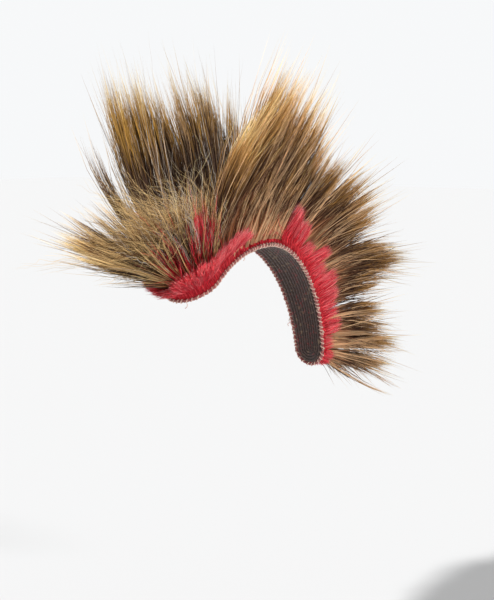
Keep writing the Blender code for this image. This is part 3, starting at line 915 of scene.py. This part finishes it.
front_locks = (
    (-0.096, 0.92, -22, -22, 24), (-0.072, 0.86, -19, -31, 10), (-0.048, 0.81, -15, -47, 4),
    (-0.024, 0.83, -10, -59, 5), (0.000, 0.87, -6, -70, 0), (0.026, 0.88, 0, -74, 0),
    (0.052, 0.62, 6, -54, 18), (0.080, 0.65, 10, -48, 16), (0.108, 0.65, 14, -44, 20),
    (0.134, 0.61, 18, -38, 22), (0.160, 0.56, 21, -32, 25),
)
curled_locks = front_locks[5:]
front_hair_look = hair_material(
    "front_guard_hair",
    {"Root": (0.46, 0.24, 0.10), "Lower": (0.30, 0.13, 0.055), "Middle": (0.036, 0.013, 0.006),
     "Upper": (0.17, 0.070, 0.020), "Tip": (0.62, 0.40, 0.14),
     "Pale Root": (1.0, 0.72, 0.40), "Pale Middle": (1.0, 0.68, 0.30),
     "Pale Tip": (1.0, 0.86, 0.48)},
    {"Lower At": 0.10, "Middle At": 0.22, "Upper At": 0.72, "Tip At": 0.88},
    shift=0.22, contrast=0.7)
# Among the locks of the left half stand single hairs the colour of straw.
front_gold = ((-0.10, 0.40), (-0.03, 0.40), (0.0, 0.50), (0.03, 0.36), (0.05, 0.12), (0.16, 0.10))
front_fill = ((-0.11, 0.16), (-0.04, 0.20), (-0.015, 0.55), (0.0, 1.3), (0.03, 1.5), (0.06, 1.0),
              (0.17, 1.0))
front_straw_fill = ((0.04, 0.0), (0.09, 0.6), (0.13, 1.2), (0.17, 1.6))
front_hair = hair_piece(
    "front_tuft", [
        tied_hair(front_locks, 250, 12, 2, front_gold, 14, fill=front_fill, reach=(0.45, 0.96),
                  gather=(0.20, 0.80), thickness=0.00034, width=0.00022, mix=(0.84, 0.05)),
        tied_hair(front_locks, 26, 5, 2, pale_root_gold, 35, fill=front_straw_fill, tied_at=0.0045,
                  reach=(0.45, 0.95), gather=(0.0, 0.3), splay=6.0)], front_hair_look)
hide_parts("hair_front")

# The ends of the left half, crimped and turned over in a mat of gold curls.
curl_gold = ((0.02, 0.9), (0.06, 0.9), (0.09, 0.6), (0.16, 0.35))
curl_fill = ((0.02, 0.1), (0.04, 0.6), (0.06, 2.4), (0.09, 1.8), (0.12, 0.8), (0.16, 0.8))
front_curls = hair_piece(
    "front_curled_ends",
    [tied_hair(curled_locks, 96, 4, 2, curl_gold, 16, fill=curl_fill, knots=12, thickness=0.00020,
               width=0.0010, reach=(0.88, 1.14), gather=(0.2, 0.6), splay=6.0, crinkle=0.0018,
               hook=0.044, curl_length=0.011, start_at=0.55, mix=(0.95, 0.35))], front_hair_look)

# Fine grey hairs that have frizzed and stand out round the curls.
frizz_gold = ((0.0, 0.85), (0.2, 0.85))
frizz_fill = ((0.02, 0.2), (0.06, 0.8), (0.11, 1.2), (0.16, 1.4))
front_frizz = hair_piece(
    "front_grey_frizz",
    [tied_hair(curled_locks, 130, 1, 2, frizz_gold, 36, fill=frizz_fill, knots=12,
               thickness=0.00018, width=0.0026, reach=(0.86, 1.16), gather=(0.0, 0.3), splay=9.0,
               crinkle=0.0016, hook=0.012, curl_length=0.010, start_at=0.45)], crimped_hair)


# Red fringe: coarse deer hair, dyed red, tied in short bunches outside the long
# hair all round the edge. It is kinked, and stands out more than the long hair.

fringe_inset = 0.0025
fringe_roll_radius = 0.0016
fringe_hair = 0.036
# Length is a share of fringe_hair. Spread is how far a bunch leans out from
# square to the strip, and forward how far it leans along the edge to the front.
fringe_shape = np.array((
    # place, length, spread, forward
    (-0.122, 0.50, 38, 6), (-0.073, 0.56, 32, 0), (-0.024, 0.61, 33, 0), (0.000, 0.66, 39, 0),
    (0.024, 0.78, 35, 0), (0.049, 1.00, 28, 0), (0.098, 1.08, 27, 0), (0.122, 0.90, 27, 5),
    (0.155, 0.83, 27, 0), (0.244, 0.86, 34, 0), (0.289, 0.52, 36, 0), (0.334, 0.30, 38, 0),
    (0.379, 0.24, 36, 0), (0.468, 0.24, 32, 5), (0.513, 0.96, 28, 25), (0.557, 0.74, 28, 27),
    (0.602, 0.44, 31, 5), (0.647, 0.67, 31, 5), (0.691, 0.46, 29, 13), (0.736, 0.64, 29, 15),
    (0.781, 0.56, 29, 15), (0.826, 0.47, 29, 14), (0.870, 0.50, 32, 8), (0.915, 0.28, 34, 6),
    (0.950, 0.30, 34, -3), (1.000, 0.36, 34, 0)))

red_look = hair_material(
    "red_deer_hair",
    {"Root": (0.46, 0.006, 0.016), "Lower": (0.62, 0.009, 0.026), "Middle": (0.74, 0.016, 0.040),
     "Upper": (0.84, 0.032, 0.056), "Tip": (0.90, 0.12, 0.13),
     "Pale Root": (0.92, 0.08, 0.095), "Pale Middle": (1.0, 0.26, 0.27),
     "Pale Tip": (1.0, 0.46, 0.44)},
    {"Lower At": 0.15, "Middle At": 0.4, "Upper At": 0.7, "Tip At": 0.95},
    shift=0.4, contrast=0.6)


# How uneven the fringe is. The two scatters of directions are in radians, and
# sizes in metres.
long_bunch_power = 1.5
bunch_half_width = 0.55
bunch_pull = 0.35
spread_scatter, forward_scatter = 0.09, 0.07
longest_red, red_shortening, short_red_power = 1.06, 0.45, 1.4
red_knots = np.array((0.0, 0.18, 0.45, 0.72, 1.0))
rim_inset, rim_height = (-0.0012, 0.0002), (0.0015, 0.0045)
red_kink = 0.0004
red_radius, red_radius_range, red_taper = 0.00024, (0.8, 1.25), 0.7


def bunch_directions(place, spread_change, forward_change):
    """Where bunches are tied, and how they lean, from the table of the fringe."""
    folded = (place + 1) % 2 - 1
    hand = np.where(folded > 0, 1.0, -1.0)
    folded = np.where(folded < fringe_shape[0, 0], -folded, folded)
    length, spread, forward = (np.interp(folded, fringe_shape[:, 0], fringe_shape[:, column])
                               for column in (1, 2, 3))
    height = strip_thickness + cord_gap + fringe_roll_radius
    root, up, out, onward = edge_place(place, np.full(len(place), fringe_inset),
                                       np.full(len(place), height))
    spread = np.radians(spread) + spread_change
    forward = np.radians(forward) + forward_change
    way = up * np.cos(spread)[:, None] + out * np.sin(spread)[:, None]
    way = way * np.cos(forward)[:, None] - onward * (hand * np.sin(forward))[:, None]
    return root, way, length


def fringe(name, node, first, last, bunches, hairs, redness, seed):
    """Red hair in bunches, each hair brought up round the rim of the strip.

    Redness is a power: the higher it is, the fewer hairs are pale.
    """
    rng = np.random.default_rng(seed)
    centres = np.linspace(first, last, bunches)
    gap = (last - first) / (bunches - 1)
    weight = bunch_directions(centres, 0, 0)[2]**long_bunch_power
    bunch = rng.choice(bunches, size=hairs, p=weight / weight.sum())
    place = centres[bunch] + gap * rng.uniform(-bunch_half_width, bunch_half_width, hairs)
    core_root, core_way, length = bunch_directions(centres[bunch], 0, 0)
    root, way, _ = bunch_directions(place, rng.normal(0, spread_scatter, hairs),
                                    rng.normal(0, forward_scatter, hairs))
    shortening = red_shortening * rng.random(hairs)**short_red_power
    length = fringe_hair * length * (longest_red - shortening)
    shares = red_knots[None, :] + np.zeros((hairs, 1))
    reach = (length[:, None] * shares)[..., None]
    pull = (bunch_pull * shares)[..., None]
    paths = ((root[:, None, :] + way[:, None, :] * reach) * (1 - pull)
             + (core_root[:, None, :] + core_way[:, None, :] * reach) * pull)
    paths[:, 0] = edge_place(place, rng.uniform(*rim_inset, hairs),
                             rng.uniform(*rim_height, hairs))[0]
    paths = paths + rng.normal(0, red_kink, paths.shape) * np.minimum(shares * 2, 1)[..., None]
    radius = red_radius * rng.uniform(*red_radius_range, (hairs, 1)) * (1 - red_taper * shares**2)
    tone = np.round(rng.random(hairs)**redness * (hair_tones - 1))
    piece = hair_piece(name, [hair_block(paths, shares, radius, tone, seed)], red_look)
    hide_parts(node)


fringe("front_fringe", "red_fringe_front", -0.122, 0.122, bunches=11, hairs=2800, redness=1.4, seed=21)
fringe("left_fringe", "red_fringe_left", 0.155, 0.915, bunches=18, hairs=3400, redness=0.6, seed=22)
fringe("right_fringe", "red_fringe_right", -0.915, -0.155, bunches=18, hairs=2500, redness=1.2, seed=23)
fringe("back_fringe", "red_fringe_back", 0.952, 1.048, bunches=4, hairs=480, redness=1.0, seed=24)

# A few long red locks stand in the left half of the front tuft, tied between it
# and the fringe, and a thin one stands at the crown.
streak_locks = (
    (0.040, 0.50, 9, -62, -9), (0.066, 0.54, 14, -49, -5), (0.085, 0.46, 14, -47, -11),
    (0.112, 0.50, 16, -42, 8), (0.135, 0.52, 19, -38, 11), (0.445, 0.22, 25, -33, 20),
)
streak_gold = ((0, 0.25), (1, 0.25))
streak_fill = ((0.0, 0.7), (0.066, 1.4), (0.10, 1.0), (0.135, 0.5), (0.445, 0.30))
red_streaks = hair_piece(
    "red_streaks",
    [tied_hair(streak_locks, 44, 4, 5, streak_gold, 25, fill=streak_fill, width=0.0005,
               reach=(0.7, 1.04), gather=(0.4, 0.8), splay=2.2, tied_at=0.0035)], red_look)


# Stage: a plain pale floor well below the piece, pale all round it, and soft
# lamps far off, so that the light is even and bright as in a studio.

floor_reach, floor_level, floor_grey = 8, -0.32, 0.665
# The wall is seen brighter than the light that it gives.
wall_light, wall_seen = 0.30, 0.95

floor = bpy.data.meshes.new("floor")
floor.from_pydata([(x * floor_reach, y * floor_reach, floor_level)
                   for x, y in ((-1, -1), (1, -1), (1, 1), (-1, 1))], [], [(0, 1, 2, 3)])
floor_paint = bpy.data.materials.new("floor_paint")
floor_paint.use_nodes = True
floor_shader = floor_paint.node_tree.nodes["Principled BSDF"]
floor_shader.inputs["Base Color"].default_value = (floor_grey, floor_grey, floor_grey, 1)
floor_shader.inputs["Roughness"].default_value = 1.0
floor_shader.inputs["Specular IOR Level"].default_value = 0.0
floor.materials.append(floor_paint)
floor_sheet = bpy.data.objects.new("floor", floor)
bpy.context.scene.collection.objects.link(floor_sheet)

studio = bpy.data.worlds.new("studio")
bpy.context.scene.world = studio
studio.use_nodes = True
nodes, links = studio.node_tree.nodes, studio.node_tree.links
nodes["Background"].inputs["Color"].default_value = (0.98, 0.99, 1.0, 1)
seen = nodes.new("ShaderNodeLightPath")
level = nodes.new("ShaderNodeMapRange")
level.inputs["To Min"].default_value = wall_light
level.inputs["To Max"].default_value = wall_seen
links.new(seen.outputs["Is Camera Ray"], level.inputs["Value"])
links.new(level.outputs["Result"], nodes["Background"].inputs["Strength"])


def far_lamp(name, place, strength, softness):
    """A lamp that shines from far off, and is so many degrees across."""
    light = bpy.data.lights.new(name, "SUN")
    light.energy = strength
    light.angle = math.radians(softness)
    lamp = bpy.data.objects.new(name, light)
    lamp.rotation_euler = Vector(place).to_track_quat("Z", "Y").to_euler()
    bpy.context.scene.collection.objects.link(lamp)


far_lamp("key_lamp", (0.0, -1.0, 0.9), 3.45, 4)
far_lamp("side_lamp", (1.0, -0.2, 0.4), 1.95, 12)
far_lamp("back_lamp", (-0.3, 1.0, 0.7), 0.8, 20)
